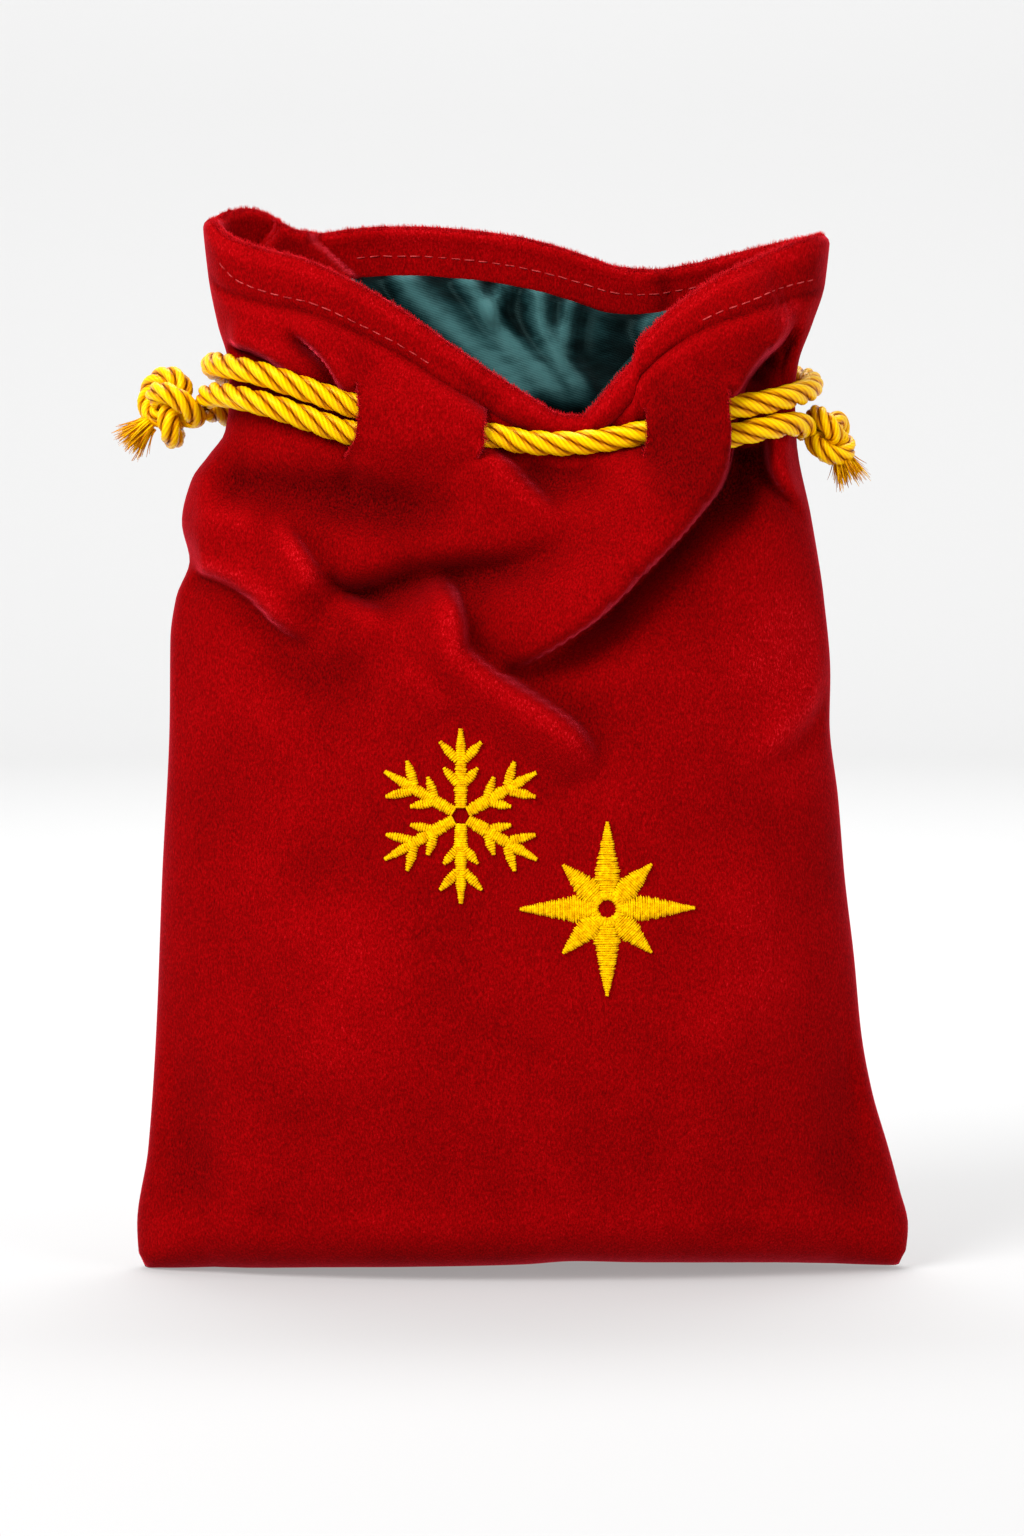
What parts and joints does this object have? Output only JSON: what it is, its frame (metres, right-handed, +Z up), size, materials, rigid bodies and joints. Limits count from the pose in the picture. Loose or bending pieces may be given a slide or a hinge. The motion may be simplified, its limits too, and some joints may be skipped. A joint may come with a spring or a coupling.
{
  "type": "fabric gift sack",
  "caption": "Lined velvet gift sack that stands on its base, with a hemmed open mouth, a pair of gold drawstrings through cut slits, and embroidered motifs.",
  "frame": {"origin": "on the floor, under the middle of the sack's box, cords left out", "axes": "+Z up, the front with the embroidery faces -Y, +X to the right seen from the front"},
  "size_m": [0.2313, 0.0795, 0.3077],
  "materials": {
    "velvet": "red cotton velvet with a short brushed pile",
    "satin": "dark teal satin, glossy along its folds",
    "cord": "shiny gold-yellow twisted rayon rope",
    "embroidery": "golden satin-stitch thread",
    "hem_thread": "matt sewing thread",
    "seam_thread": "matt sewing thread"
  },
  "bodies": {
    "root": {"front_panel": "velvet", "back_panel": "velvet", "front_lining": "satin", "back_lining": "satin", "front_hem_stitching": "hem_thread", "back_hem_stitching": "hem_thread", "left_seam": "seam_thread", "right_seam": "seam_thread", "base_seam": "seam_thread", "embroidered_snowflake": "embroidery", "embroidered_star": "embroidery", "left_drawstring": "cord", "right_drawstring": "cord"},
    "left_pull": {"left_knot": "cord", "left_frayed_end": "cord"},
    "right_pull": {"right_knot": "cord", "right_frayed_end": "cord"}
  },
  "joints": [
    {"name": "left_drawstring_pull", "type": "slide", "parent": "root", "child": "left_pull", "axis": [-1, 0, 0], "range_m": [0, 0.03]},
    {"name": "right_drawstring_pull", "type": "slide", "parent": "root", "child": "right_pull", "axis": [1, 0, 0], "range_m": [0, 0.03]}
  ]
}
